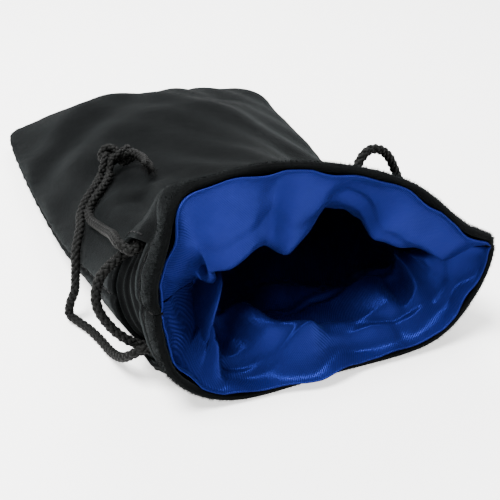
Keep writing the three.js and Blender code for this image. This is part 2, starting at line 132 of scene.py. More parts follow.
def outline(u, y):
    """Points on the bag's outer shape, in millimetres. u and y are arrays of one shape."""
    at = np.interp(y, Y_TABLE, INDEX_TABLE)
    rings = open_run(SECTION_XZ, at)
    turn = np.mod(u, ROUND)
    k = np.floor(turn).astype(int)
    pick = np.arange(len(u))
    corners = [rings[pick, (k + step) % ROUND] for step in (-1, 0, 1, 2)]
    xz = catmull(*corners, (turn - k)[:, None])
    lean = 1 - smoothstep(y, LEAN_FULL_Y, LEAN_NONE_Y)
    by_z = LEAN_BY_Z + (CASING_LEAN_BY_Z - LEAN_BY_Z) * smoothstep(y, MOUTH_Y, CASING_Y)
    return np.stack([xz[:, 0], y + lean * (by_z * xz[:, 1] + LEAN_BY_X * xz[:, 0]), xz[:, 1]], 1)


def pinch(y):
    """1 at a row of stitching, falling to 0 beside it."""
    away = np.minimum(abs(y - ROW_FRONT_Y), abs(y - ROW_BACK_Y))
    return 1 - smoothstep(away, 0, PINCH_HALF)


def puff(y):
    """1 over the cords' channel, 0 outside it."""
    return 1 - smoothstep(abs(y - CASING_Y), CASING_HALF - 4.5, CASING_HALF - 0.5)


def skin(u, y, rise):
    """Points at a height over the bag's outer shape, and never below the floor."""
    u, y, rise = (np.asarray(a, float).ravel() for a in np.broadcast_arrays(u, y, rise))
    du, dy = 0.02, 0.05
    held = np.clip(y, MOUTH_Y, END_Y)
    across = outline(u + du, held) - outline(u - du, held)
    along = outline(u, np.minimum(END_Y, held + dy)) - outline(u, np.maximum(MOUTH_Y, held - dy))
    out = np.cross(across, along)
    out /= np.linalg.norm(out, axis=1)[:, None]
    points = outline(u, held) + out * (rise - PINCH * pinch(y))[:, None]
    past = y - held
    points += past[:, None] * along / np.linalg.norm(along, axis=1)[:, None]
    points[:, 2] = np.maximum(points[:, 2], np.maximum(PUFF_OUT * puff(y) - rise, 0.03))
    return points


def from_seam(u):
    """Distance in u from the nearer side seam."""
    return abs(np.mod(u + RIGHT_SEAM / 2, RIGHT_SEAM) - RIGHT_SEAM / 2)


GIRTH_U = np.linspace(0, ROUND, 241)
GIRTH_MM = np.concatenate([[0], np.cumsum(np.linalg.norm(np.diff(
    outline(GIRTH_U, np.full_like(GIRTH_U, MOUTH_Y)), axis=0), axis=1))])


def around_mm(u):
    """Distance round the mouth from the left seam, over the top."""
    return np.interp(np.mod(u, ROUND), GIRTH_U, GIRTH_MM)


# ---------- Folds ----------
def away_from(px, py, route):
    """Distance of points from a line of [x, y] points."""
    best = np.full(px.shape, 1e9)
    for (ax, ay), (bx, by) in zip(route, route[1:]):
        length2 = (bx - ax) ** 2 + (by - ay) ** 2
        t = np.clip(((px - ax) * (bx - ax) + (py - ay) * (by - ay)) / length2, 0, 1)
        best = np.minimum(best, np.hypot(px - ax - t * (bx - ax), py - ay - t * (by - ay)))
    return best


def fold(px, py, route, width, height):
    """A ridge of that height along a route, falling away over its width."""
    return height * np.exp(-(away_from(px, py, route) / width) ** 2)


def waves(at, periods, seed):
    """A smooth irregular ripple between about -1 and 1."""
    rng = np.random.default_rng(seed)
    total = sum(np.sin(2 * math.pi * at / period + rng.uniform(0, 6.28)) for period in periods)
    return total / len(periods) ** 0.7


LIP_RISE = 4.2               # how much higher the top of the mouth is propped open
LIP_DEPTH = 14
PUCKER_MM_PER_U = 14         # how quickly the side seams' puckers die away

# Soft folds in the velvet on top, as routes of [x, y] seen from above, a width and a height.
VELVET_FOLDS = [
    ([(-26, -33), (-28, -50), (-31, -66), (-33, -80)], 4.5, 3.0),
    ([(-36, -36), (-37, -52), (-39, -68)], 5.5, -3.0),
    ([(-33, -82), (-36, -60), (-40, -38), (-43, -18)], 7, 2.4),
    ([(-26, -78), (-24, -52), (-27, -24), (-31, 0)], 8, -1.6),
    ([(-50, 10), (-30, 28), (-5, 36), (25, 33)], 13, 1.8),
    ([(-58, 40), (-40, 62), (-22, 84)], 10, 1.4),
    ([(-48, 35), (-18, 62), (10, 88)], 9, -1.6),
    ([(30, 60), (22, 82), (18, 97)], 8, -2.0),
    ([(8, -74), (6, -48), (10, -20)], 8, 1.1),
    ([(30, -66), (28, -40), (34, -8)], 7, -1.2),
]


# The cloth lies flat under the left drawstring's pull, seen from above.
LEFT_PULL_LINE = [(-44, -70), (-48, -60), (-48, -24), (-40, -14), (-33, -5), (-26, -12), (-27, -27)]


def gap_share(u, y):
    """1 at the two gaps in the casing, falling to 0 a little way outside them."""
    left_middle = (EXIT["left_lower"] - ROUND + EXIT["left_upper"]) / 2
    left = abs(np.mod(u - left_middle + ROUND / 2, ROUND) - ROUND / 2) - (EXIT["left_upper"] - left_middle)
    right_middle = (EXIT["right_upper"] + EXIT["right_lower"]) / 2
    right = abs(np.mod(u, ROUND) - right_middle) - (EXIT["right_lower"] - right_middle)
    beside = smoothstep(np.minimum(left, right), 0.1, 0.5)
    beyond = smoothstep(abs(y - CASING_Y), 8, 12)
    return (1 - beside) * (1 - beyond)


def lip_rise(u, y):
    """How far the top of the mouth is propped up."""
    at = around_mm(u)
    over_top = smoothstep(at, 18, 44) * (1 - smoothstep(at, 92, 120))
    return LIP_RISE * over_top * (1 - smoothstep(y, MOUTH_Y, MOUTH_Y + LIP_DEPTH))


def velvet_folds(u, y, top):
    """How far the velvet's loose folds lift it. Both panels agree at the side seams."""
    away_row = np.maximum(0, y - ROW_BACK_Y)
    at = around_mm(u)
    fade = smoothstep(from_seam(u), 0, 0.6)
    side = fade if top else -fade
    gathers = 0.75 * waves(at, (13, 9.5, 21), 3) * np.exp(-away_row / 20)
    gathers = gathers * smoothstep(y, MOUTH_Y, ROW_FRONT_Y)
    edge = np.minimum(from_seam(u) * PUCKER_MM_PER_U, END_Y - y)
    pucker = 0.35 * waves(y + 1.3 * at, (6.5, 9.3), 5) * np.exp(-np.maximum(edge, 0) / 4)
    rest = gathers * (0.68 + 0.32 * side) + pucker
    if top:
        points = outline(u, y)
        loose = sum(fold(points[:, 0], points[:, 1], *one) for one in VELVET_FOLDS)
        loose = loose + 0.5 * waves(points[:, 0] + 0.6 * y, (34, 23), 11) * smoothstep(y, -70, -40)
        rest = rest + loose * fade
        under_pull = np.exp(-(away_from(points[:, 0], points[:, 1], LEFT_PULL_LINE) / 8) ** 2)
        rest = rest * (1 - under_pull)
    return rest * (1 - gap_share(u, y)) * smoothstep(END_Y - y, 0, 6) + lip_rise(u, y)


# Folds in the lining, as routes of [distance round the mouth, depth], a width and how far they stand in.
LINING_FOLDS = [
    ([(-22, 15), (-8, 17), (6, 16), (20, 14), (33, 12)], 9.5, 17),      # the left wall's billow
    ([(49, 12), (58, 15), (66, 11)], 8.5, 12),                          # the billow under the top
    ([(97, 9), (108, 9), (119, 6)], 6.5, 8.5),                          # the right of the top
    ([(134, 9), (144, 17), (157, 23), (168, 26)], 7.5, 8),              # the lower right wall
    ([(-27, 6), (-25, 13), (-27, 24)], 2.8, 8),                         # two ridges beside the deep tuck
    ([(-34, 4), (-36, 11), (-40, 20), (-46, 30)], 3.4, 10),
    ([(-45, 28), (-52, 19), (-57, 12), (-66, 8)], 4.6, 8.5),            # the long fold across the bottom
    ([(-58, 4), (-68, 8), (-78, 9), (-90, 5)], 3.2, 4.2),               # the fold behind the bottom rim
    ([(-95, 14), (-86, 24), (-70, 34)], 6, 5),
    ([(-100, 6), (-112, 13), (-118, 24)], 5, 3.5),
]
SPILL_AT = -66               # where the lining rolls out over the bottom rim
SPILL = 2.6
SPILL_WIDTH = 9


def lining_folds(u, y):
    """How far the lining's folds stand in from the velvet."""
    at = around_mm(u)
    depth = y - MOUTH_Y
    girth = GIRTH_MM[-1]
    total = sum(fold(at + turn, depth, *one) for one in LINING_FOLDS for turn in (0, -girth))
    total = total * smoothstep(depth, -0.5, 6.5)
    ripple = 0.5 * waves(at, (17, 11, 27), 21) * smoothstep(depth, 0, 4) * (1 - smoothstep(depth, 30, 60))
    edge = 0.35 + 0.7 * waves(at, (25, 16), 8) * (1 - smoothstep(depth, 0, 7))
    edge = edge * (0.5 + 0.5 * smoothstep(from_seam(u), 0.1, 0.7))
    inner = 1.2 + waves(at + depth * 0.5, (30, 19), 4)
    inner = inner + (np.mod(u, ROUND) < 3) * 2.4 * np.exp(-(at / 5) ** 2)
    return np.maximum(0, total + ripple + edge + inner * smoothstep(depth, 2, 12))


# ---------- Mesh making ----------
def mesh_object(name, points_mm, faces):
    """A smooth-shaded object from points in millimetres."""
    mesh = bpy.data.meshes.new(name)
    mesh.from_pydata([tuple(p) for p in np.asarray(points_mm) * MM], [], faces)
    mesh.validate()
    mesh.polygons.foreach_set("use_smooth", [True] * len(mesh.polygons))
    piece = bpy.data.objects.new(name, mesh)
    bpy.context.scene.collection.objects.link(piece)
    return piece


def closed_sheet(name, ys, us, outer, inner, filled):
    """A cloth sheet with thickness: outer and inner are its points at every y and u, row by row.

    filled says which cells, by the y and u of their middles, hold cloth.
    """
    rows, cols = len(ys), len(us)
    has = np.zeros((rows + 1, cols + 1), bool)
    mid_y = (ys[:-1] + ys[1:]) / 2
    mid_u = (us[:-1] + us[1:]) / 2
    has[1:rows, 1:cols] = filled(mid_y[:, None], mid_u[None, :])
    shift = rows * cols
    faces = []
    for i, j in zip(*np.nonzero(has)):
        a = (i - 1) * cols + (j - 1)
        b, c, d = a + 1, a + cols + 1, a + cols
        faces.append((a, b, c, d))
        faces.append((d + shift, c + shift, b + shift, a + shift))
        sides = {(-1, 0): (a, b), (0, 1): (b, c), (1, 0): (c, d), (0, -1): (d, a)}
        for (di, dj), (p, q) in sides.items():
            if not has[i + di, j + dj]:
                faces.append((q, p, p + shift, q + shift))
    return mesh_object(name, np.concatenate([outer, inner]), [tuple(int(v) for v in f) for f in faces])


def everywhere(y, u):
    """A sheet with no cell left out."""
    return np.full(np.broadcast(y, u).shape, True)


def grid(ys, us):
    """Every y with every u, row by row."""
    yy, uu = np.meshgrid(ys, us, indexing="ij")
    return yy.ravel(), uu.ravel()


def tube_faces(count, sides):
    """Faces that join a number of rings one after another and close both ends."""
    faces = []
    for i in range(count - 1):
        for j in range(sides):
            a, b = i * sides + j, i * sides + (j + 1) % sides
            faces.append((a, b, b + sides, a + sides))
    faces.append(tuple(reversed(range(sides))))
    faces.append(tuple(range((count - 1) * sides, count * sides)))
    return faces


def tube_rings(path, radii, sides):
    """Points and faces of a round tube along a path, with one radius for each path point."""
    tangents = np.gradient(path, axis=0)
    tangents /= np.linalg.norm(tangents, axis=1)[:, None]
    side = np.cross(tangents[0], [0.31, 0.2, 0.93])
    side /= np.linalg.norm(side)
    points = []
    turn = np.linspace(0, 2 * math.pi, sides, endpoint=False)
    for point, tangent, radius in zip(path, tangents, radii):
        side = side - tangent * side.dot(tangent)
        side /= np.linalg.norm(side)
        up = np.cross(tangent, side)
        points.append(point + radius * (np.cos(turn)[:, None] * side + np.sin(turn)[:, None] * up))
    return np.concatenate(points), tube_faces(len(path), sides)


class Parts:
    """Gathers points and faces of many small bits for one mesh."""

    def __init__(self):
        self.points = []
        self.faces = []
        self.count = 0

    def add(self, points, faces):
        self.points.append(np.asarray(points))
        self.faces.extend(tuple(v + self.count for v in face) for face in faces)
        self.count += len(points)

    def object(self, name):
        return mesh_object(name, np.concatenate(self.points), self.faces)


def smooth_path(route, spacing):
    """A centripetal Catmull-Rom curve through a route's points, at even spacing in millimetres."""
    points = [np.array(p, float) for p in route]
    points = [2 * points[0] - points[1]] + points + [2 * points[-1] - points[-2]]
    dense = []
    for p0, p1, p2, p3 in zip(points, points[1:], points[2:], points[3:]):
        t0 = 0.0
        t1 = t0 + np.linalg.norm(p1 - p0) ** 0.5
        t2 = t1 + np.linalg.norm(p2 - p1) ** 0.5
        t3 = t2 + np.linalg.norm(p3 - p2) ** 0.5
        t = np.linspace(t1, t2, 24, endpoint=False)[:, None]
        a1 = (t1 - t) / (t1 - t0) * p0 + (t - t0) / (t1 - t0) * p1
        a2 = (t2 - t) / (t2 - t1) * p1 + (t - t1) / (t2 - t1) * p2
        a3 = (t3 - t) / (t3 - t2) * p2 + (t - t2) / (t3 - t2) * p3
        b1 = (t2 - t) / (t2 - t0) * a1 + (t - t0) / (t2 - t0) * a2
        b2 = (t3 - t) / (t3 - t1) * a2 + (t - t1) / (t3 - t1) * a3
        dense.append((t2 - t) / (t2 - t1) * b1 + (t - t1) / (t2 - t1) * b2)
    dense = np.concatenate(dense + [points[-2][None]])
    lengths = np.concatenate([[0], np.cumsum(np.linalg.norm(np.diff(dense, axis=0), axis=1))])
    even = np.linspace(0, lengths[-1], max(3, int(round(lengths[-1] / spacing)) + 1))
    return np.stack([np.interp(even, lengths, dense[:, k]) for k in range(3)], 1)


def path_length(path):
    """A path's length in millimetres."""
    return float(np.linalg.norm(np.diff(path, axis=0), axis=1).sum())


def path_frame(path):
    """Tangents and two directions across them, carried along a path without twist."""
    tangents = np.gradient(path, axis=0)
    tangents /= np.linalg.norm(tangents, axis=1)[:, None]
    side = np.cross(tangents[0], [0.31, 0.2, 0.93])
    sides = []
    for tangent in tangents:
        side = side - tangent * side.dot(tangent)
        side = side / np.linalg.norm(side)
        sides.append(side)
    sides = np.array(sides)
    return tangents, sides, np.cross(tangents, sides)


# ---------- Braided cord ----------
BRAID_STRANDS = 4            # in each direction
BRAID_PITCH = 9.0            # length of one whole turn
BRAID_STEP = 0.36
STRAND_SIDES = 7
CORE_SIDES = 10

# Shares of the cord's radius.
STRAND_THICK = 0.3
STRAND_WIDE = 0.43
STRAND_LIFT = 0.19           # how far a strand rises over the next, and dips under it
STRAND_SUNK = 0.14
CORE_RADIUS = 0.62

TAPER_LENGTH = 0.9           # over which the cord's ends draw in, in millimetres
TAPER_LEAST = 0.45


def add_braid(parts, path, diameter, phase=0.0):
    """Eight strands plaited round a path, each over one and under the next."""
    radius = diameter / 2
    thick, wide = STRAND_THICK * radius, STRAND_WIDE * radius
    middle = radius - thick - STRAND_SUNK * radius
    _, side, up = path_frame(path)
    along = np.concatenate([[0], np.cumsum(np.linalg.norm(np.diff(path, axis=0), axis=1))])
    taper = np.clip(np.minimum(along, along[-1] - along) / TAPER_LENGTH + TAPER_LEAST, 0, 1)
    ring = np.linspace(0, 2 * math.pi, STRAND_SIDES, endpoint=False)
    faces = tube_faces(len(path), STRAND_SIDES)
    for way in (1, -1):
        for k in range(BRAID_STRANDS):
            turn = 2 * math.pi * (way * along / BRAID_PITCH + k / BRAID_STRANDS) + phase
            turn += math.pi / BRAID_STRANDS * (way < 0)
            lift = way * STRAND_LIFT * radius * np.sin(2 * BRAID_STRANDS * math.pi * along / BRAID_PITCH)
            out = np.cos(turn)[:, None] * side + np.sin(turn)[:, None] * up
            centre = path + out * ((middle + lift) * taper)[:, None]
            flow = np.gradient(centre, axis=0)
            flow /= np.linalg.norm(flow, axis=1)[:, None]
            across = np.cross(flow, out)
            across /= np.linalg.norm(across, axis=1)[:, None]
            points = (centre[:, None] + np.cos(ring)[None, :, None] * across[:, None] * wide
                      + np.sin(ring)[None, :, None] * out[:, None] * thick)
            parts.add(points.reshape(-1, 3), faces)
    parts.add(*tube_rings(path, radius * CORE_RADIUS * taper, CORE_SIDES))


# ---------- Materials ----------
def new_material(name):
    """A material, its node tree and its shader."""
    material = bpy.data.materials.new(name)
    material.use_nodes = True
    tree = material.node_tree
    return material, tree, tree.nodes["Principled BSDF"]


def node(tree, kind, **sockets):
    """A new node with some input values, by the sockets' names."""
    made = tree.nodes.new(kind)
    for key, value in sockets.items():
        made.inputs[key.replace("_", " ")].default_value = value
    return made


def ramp(tree, low, high, colors):
    """A colour ramp from one colour at low to another at high."""
    made = tree.nodes.new("ShaderNodeValToRGB")
    made.color_ramp.elements[0].position = low
    made.color_ramp.elements[1].position = high
    made.color_ramp.elements[0].color = (*colors[0], 1)
    made.color_ramp.elements[1].color = (*colors[1], 1)
    return made


def object_coords(tree, scale=(1, 1, 1), turn=(0, 0, 0)):
    """The object's own coordinates, scaled and turned."""
    coords = tree.nodes.new("ShaderNodeTexCoord")
    mapping = tree.nodes.new("ShaderNodeMapping")
    mapping.inputs["Scale"].default_value = scale
    mapping.inputs["Rotation"].default_value = turn
    tree.links.new(coords.outputs["Object"], mapping.inputs["Vector"])
    return mapping.outputs["Vector"]


def multiply(tree, first, second):
    """The product of two colour outputs."""
    mix = tree.nodes.new("ShaderNodeMix")
    mix.data_type = "RGBA"
    mix.blend_type = "MULTIPLY"
    mix.inputs["Factor"].default_value = 1.0
    tree.links.new(first, mix.inputs["A"])
    tree.links.new(second, mix.inputs["B"])
    return mix.outputs["Result"]


def velvet_material():
    material, tree, shader = new_material("black_velvet")
    link = tree.links.new
    crush = node(tree, "ShaderNodeTexNoise", Scale=55.0, Detail=4.0, Roughness=0.6)
    pile = node(tree, "ShaderNodeTexNoise", Scale=1900.0, Detail=3.0, Roughness=0.7)
    where = object_coords(tree)
    link(where, crush.inputs["Vector"])
    link(where, pile.inputs["Vector"])
    shade = ramp(tree, 0.3, 0.72, [(0.0009, 0.0010, 0.0011), (0.0028, 0.0031, 0.0032)])
    link(crush.outputs["Fac"], shade.inputs["Fac"])
    speckle = ramp(tree, 0.35, 0.75, [(0.55, 0.55, 0.55), (1.5, 1.5, 1.52)])
    link(pile.outputs["Fac"], speckle.inputs["Fac"])
    link(multiply(tree, shade.outputs["Color"], speckle.outputs["Color"]), shader.inputs["Base Color"])
    bump = node(tree, "ShaderNodeBump", Strength=0.55, Distance=0.0004)
    link(pile.outputs["Fac"], bump.inputs["Height"])
    soft = node(tree, "ShaderNodeBump", Strength=0.5, Distance=0.0012)
    link(crush.outputs["Fac"], soft.inputs["Height"])
    link(soft.outputs["Normal"], bump.inputs["Normal"])
    link(bump.outputs["Normal"], shader.inputs["Normal"])
    shader.inputs["Roughness"].default_value = 0.95
    shader.inputs["Specular IOR Level"].default_value = 0.03
    shader.inputs["Sheen Weight"].default_value = 0.045
    shader.inputs["Sheen Roughness"].default_value = 0.42
    shader.inputs["Sheen Tint"].default_value = (0.62, 0.72, 0.74, 1)
    return material


def satin_material():
    material, tree, shader = new_material("blue_satin")
    link = tree.links.new
    twill = tree.nodes.new("ShaderNodeTexWave")
    twill.wave_type = "BANDS"
    twill.inputs["Scale"].default_value = 720.0
    twill.inputs["Distortion"].default_value = 0.6
    twill.inputs["Detail"].default_value = 1.0
    link(object_coords(tree, turn=(0.35, 0.5, 0.6)), twill.inputs["Vector"])
    slub = node(tree, "ShaderNodeTexNoise", Scale=420.0, Detail=3.0, Roughness=0.6)
    broad = node(tree, "ShaderNodeTexNoise", Scale=60.0, Detail=2.0, Roughness=0.5)
    link(object_coords(tree, (1, 0.35, 1)), slub.inputs["Vector"])
    link(object_coords(tree), broad.inputs["Vector"])
    tint = ramp(tree, 0.25, 0.8, [(0.0058, 0.0088, 0.076), (0.0088, 0.0132, 0.114)])
    link(broad.outputs["Fac"], tint.inputs["Fac"])
    line = ramp(tree, 0.2, 0.8, [(0.82, 0.84, 0.86), (1.12, 1.1, 1.08)])
    link(twill.outputs["Fac"], line.inputs["Fac"])
    link(multiply(tree, tint.outputs["Color"], line.outputs["Color"]), shader.inputs["Base Color"])
    rough = ramp(tree, 0.3, 0.7, [(0.31, 0.31, 0.31), (0.43, 0.43, 0.43)])
    link(slub.outputs["Fac"], rough.inputs["Fac"])
    link(rough.outputs["Color"], shader.inputs["Roughness"])
    bump = node(tree, "ShaderNodeBump", Strength=0.6, Distance=0.00012)
    link(twill.outputs["Fac"], bump.inputs["Height"])
    rumple = node(tree, "ShaderNodeBump", Strength=0.45, Distance=0.0004)
    link(slub.outputs["Fac"], rumple.inputs["Height"])
    link(rumple.outputs["Normal"], bump.inputs["Normal"])
    link(bump.outputs["Normal"], shader.inputs["Normal"])
    shader.inputs["Metallic"].default_value = 0.5
    shader.inputs["Specular IOR Level"].default_value = 0.1
    shader.inputs["Specular Tint"].default_value = (0.16, 0.34, 1.0, 1)
    shader.inputs["Sheen Weight"].default_value = 0.03
    shader.inputs["Sheen Roughness"].default_value = 0.4
    shader.inputs["Sheen Tint"].default_value = (0.2, 0.4, 1.0, 1)
    return material


def cord_material(name, low, high, sheen):
    material, tree, shader = new_material(name)
    link = tree.links.new
    fibre = node(tree, "ShaderNodeTexNoise", Scale=2600.0, Detail=3.0, Roughness=0.65)
    fade = node(tree, "ShaderNodeTexNoise", Scale=120.0, Detail=2.0, Roughness=0.5)
    where = object_coords(tree)
    link(where, fibre.inputs["Vector"])
    link(where, fade.inputs["Vector"])
    tint = ramp(tree, 0.3, 0.75, [low, high])
    link(fade.outputs["Fac"], tint.inputs["Fac"])
    link(tint.outputs["Color"], shader.inputs["Base Color"])
    bump = node(tree, "ShaderNodeBump", Strength=0.5, Distance=0.00015)
    link(fibre.outputs["Fac"], bump.inputs["Height"])
    link(bump.outputs["Normal"], shader.inputs["Normal"])
    rough = ramp(tree, 0.3, 0.7, [(0.55, 0.55, 0.55), (0.75, 0.75, 0.75)])
    link(fibre.outputs["Fac"], rough.inputs["Fac"])
    link(rough.outputs["Color"], shader.inputs["Roughness"])
    shader.inputs["Specular IOR Level"].default_value = 0.1
    shader.inputs["Sheen Weight"].default_value = sheen
    shader.inputs["Sheen Roughness"].default_value = 0.4
    return material


def floor_material():
    material, tree, shader = new_material("white_sweep")
    grain = node(tree, "ShaderNodeTexNoise", Scale=30.0, Detail=2.0, Roughness=0.5)
    tint = ramp(tree, 0.3, 0.7, [(0.93, 0.925, 0.915), (0.95, 0.945, 0.935)])
    tree.links.new(grain.outputs["Fac"], tint.inputs["Fac"])
    tree.links.new(tint.outputs["Color"], shader.inputs["Base Color"])
    shader.inputs["Roughness"].default_value = 0.8
    shader.inputs["Specular IOR Level"].default_value = 0.1
    shader.inputs["Emission Color"].default_value = (1.0, 0.99, 0.97, 1)
    shader.inputs["Emission Strength"].default_value = 1.3
    return material


VELVET_LOOK = velvet_material()
SATIN_LOOK = satin_material()
CORD_LOOK = cord_material("black_cord", (0.0012, 0.0013, 0.0012), (0.0034, 0.0036, 0.0033), 0.012)
THREAD_LOOK = cord_material("black_thread", (0.002, 0.002, 0.0022), (0.005, 0.005, 0.0055), 0.02)
BLUE_THREAD_LOOK = cord_material("blue_thread", (0.001, 0.006, 0.05), (0.002, 0.010, 0.09), 0.02)


def finish_piece(piece, body, look, slot, *nodes):
    """Gives a piece its look and its body, and hides the CAD nodes that it replaces."""
    piece.data.materials.clear()
    piece.data.materials.append(look)
    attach(piece, body)
    if nodes:
        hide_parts(*nodes)
    return piece


# ---------- Camera ----------
CAMERA_AT = Vector((-75.4, -219.6, 139.4)) * MM
CAMERA_YAW = math.radians(23.4)      # clockwise from +Y, seen from above
CAMERA_PITCH = math.radians(34.1)    # below the horizon
CAMERA_ROLL = math.radians(0.4)
CAMERA_LENS = 48.7

camera_data = bpy.data.cameras.new("camera")
camera_data.lens = CAMERA_LENS
camera_data.sensor_width = 36
camera_data.clip_start = 0.01
camera = bpy.data.objects.new("camera", camera_data)
bpy.context.scene.collection.objects.link(camera)
camera.matrix_world = (Matrix.Translation(CAMERA_AT) @ Matrix.Rotation(-CAMERA_YAW, 4, "Z")
                       @ Matrix.Rotation(math.pi / 2 - CAMERA_PITCH, 4, "X")
                       @ Matrix.Rotation(-CAMERA_ROLL, 4, "Z"))
bpy.context.scene.camera = camera

# ---------- Cords ----------
LEFT_UPPER_ROUTE = [
    [-41.95, -70.5, 40.85], [-43.3, -71.2, 39.6], [-45.5, -71.1, 39.1], [-47.5, -68, 39.7],
    [-47.6, -62.4, 38.4], [-47.2, -55.8, 35.8], [-47.2, -48.5, 32.4], [-47.8, -40, 29.4],
    [-48.7, -29, 26.3], [-47.9, -23.4, 26.4], [-44.8, -20.2, 28.5], [-40.6, -16.1, 30.2],
    [-36.9, -10.4, 31.5],
]
LEFT_LOWER_ROUTE = [
    [-43.9, -80.05, 9.95], [-45, -79.8, 11.4], [-47, -79.8, 12], [-49.8, -78.8, 10.6],
    [-51.8, -76, 7.6], [-53.2, -71.4, 4.6], [-54.3, -65.6, 2.3], [-55.7, -58.8, 1.65],
    [-57.7, -52.6, 1.65], [-60.1, -47.4, 1.65], [-61.9, -43.9, 2.6], [-60.9, -42.8, 6],
    [-58.9, -42.6, 10], [-57.6, -40.6, 14.3], [-55.5, -35.4, 20.2], [-52.2, -28.2, 23.4],
    [-50.7, -22.4, 24.7], [-47.7, -18.2, 27], [-43.5, -13.9, 29], [-39.4, -7.9, 30.4],
]
RIGHT_UPPER_ROUTE = [
    [16.3, -69.6, 42.6], [18.7, -70.05, 41.85], [21.3, -70.3, 43.1], [23.4, -69.4, 46.4],
    [26.0, -67.6, 49.6], [29.8, -66.2, 51.3], [34, -65.6, 50.3], [37.6, -65.2, 47.2],
    [40.0, -65.4, 43.0], [42.2, -65.6, 38.6], [45.1, -65.4, 34.4], [48.9, -64.4, 30.3],
    [52.5, -62.8, 26.4], [55.6, -60.9, 21.6], [57.6, -58.6, 15.5], [58.5, -55.6, 9],
    [59.6, -51.4, 4], [61.6, -46, 1.8], [64.6, -38.8, 1.65], [67.3, -32.2, 1.65],
    [69, -27, 2.5], [69.3, -24.1, 3.3],
]
RIGHT_LOWER_ROUTE = [
    [47.65, -81.75, 10.65], [48.7, -81.6, 12], [50.8, -81.3, 13.6], [53.8, -80.3, 13.6],
    [56.4, -78.2, 11.6], [58.4, -74.7, 8.2], [60, -69.7, 4.6], [61.9, -63.4, 2.1],
    [64.8, -56.4, 1.65], [68.4, -49, 1.65], [72.2, -40, 1.65], [73.9, -32.5, 1.65],
    [73.2, -27, 2.5], [72.7, -24.1, 3.3],
]

# Each free end's body and route, and the knot that goes with it.
FREE_ENDS = {
    "left_drawstring_upper_end": ("left_pull", LEFT_UPPER_ROUTE, ["left_drawstring_knot"]),
    "left_drawstring_lower_end": ("left_pull", LEFT_LOWER_ROUTE, []),
    "right_drawstring_upper_end": ("right_pull", RIGHT_UPPER_ROUTE, ["right_drawstring_knot"]),
    "right_drawstring_lower_end": ("right_pull", RIGHT_LOWER_ROUTE, []),
}
CORD_RISE = (PUFF_OUT - VELVET - VELVET - LAYER_GAP - PUFF_IN) / 2
CROSSING_RISE = -0.2
BACK_TRACK = CASING_Y + TRACK
FRONT_TRACK = CASING_Y - TRACK


def around(from_u, to_u, y, rise, spacing=0.3):
    """Points round the bag at one y, from one u to another."""
    count = max(2, round(abs(to_u - from_u) / spacing))
    return list(skin(np.linspace(from_u, to_u, count + 1), y, rise))


def casing_run(track, lower, crossing, upper):
    """A cord's route through the lower casing, across a side gap and through the upper casing."""
    gap = [skin(u, y, rise)[0] for u, y, rise in crossing]
    return around(*lower, track, CORD_RISE) + gap + around(*upper, track, CORD_RISE)


LEFT_RUN = casing_run(
    FRONT_TRACK,
    (EXIT["left_lower"] - 0.1, EXIT["right_lower"] + 0.2),
    [(u, FRONT_TRACK, CROSSING_RISE) for u in (6.75, 6.4, 5.9, 5.4, 4.9, 4.5, 4.2)],
    (EXIT["right_upper"] - 0.1, EXIT["left_upper"] + 0.1),
)
RIGHT_RUN = casing_run(
    BACK_TRACK,
    (EXIT["right_lower"] + 0.1, EXIT["left_lower"] - 0.2),
    [(11.25, -81.8, 1.6), (11.6, -80.8, 4.4), (12.05, -79.8, 6), (12.5, -80.2, 4.8), (12.95, -81.5, 1.4)],
    (EXIT["left_upper"] + ROUND - 0.05, EXIT["right_upper"] + ROUND - 0.1),
)


def braided_cord(name, route):
    """A braided cord along a route, and the path that it follows."""
    path = smooth_path(route, BRAID_STEP)
    parts = Parts()
    add_braid(parts, path, CORD_D)
    return parts.object(name), path


free_cords = {}
for node_name, (body, route, _) in FREE_ENDS.items():
    piece, path = braided_cord(node_name + "_braid", route)
    finish_piece(piece, body, CORD_LOOK, "braided_cord", node_name)
    free_cords[node_name] = (piece, path)

CASING_RUNS = {"left_drawstring_casing_run": LEFT_RUN, "right_drawstring_casing_run": RIGHT_RUN}
for node_name, route in CASING_RUNS.items():
    piece, _ = braided_cord(node_name + "_braid", route)
    finish_piece(piece, "bag", CORD_LOOK, "braided_cord", node_name)

# ---------- Knots ----------
KNOT_CORD_D = 2.7            # the cord is pulled thinner in its knot
KNOT_SCALE = 1.45
KNOT_SEED = 31
STRANDS_APART = 0.44         # half the space between the two cords' middles, in their diameters
TUFT_FIBRES = 42
TUFT_LENGTH = 3.2
KNOTS = {
    "left_drawstring_knot": {
        "body": "left_pull", "middle": (-33.6, -5.2, 34.6), "mirror": -1,
        "along": (0.2, 1, 0.12), "across": (1, -0.2, 0.03),
        "lead": [(-38.6, -9.6, 31.4)],
        "tail": [(-28.2, -9.5, 36.3), (-26.4, -14.5, 36.9), (-26.2, -20.5, 37.9), (-27.6, -26.5, 38.9)],
    },
    "right_drawstring_knot": {
        "body": "right_pull", "middle": (70.6, -16, 5.2), "mirror": 1,
        "along": (0, 1, 0), "across": (1, 0, 0),
        "lead": [(71, -23.6, 3.7)],
        "tail": [(66.6, -21.4, 4.2), (64.2, -16.5, 3.6), (64.6, -10, 3.0), (66.8, -5, 2.9)],
    },
}


def overhand(middle, along, across, mirror):
    """The line of a loose overhand knot about a point, with both ends on the near side."""
    along, across = (np.array(v, float) / np.linalg.norm(v) for v in (along, across))
    up = np.cross(across, along)
    t = np.linspace(-2.35, 2.35, 22)
    x = mirror * (np.sin(t) + 2 * np.sin(2 * t))
    y = np.cos(t) - 2 * np.cos(2 * t)
    z = -np.sin(3 * t)
    offsets = x[:, None] * across + y[:, None] * along + z[:, None] * up
    return list(np.array(middle) + KNOT_SCALE * offsets)


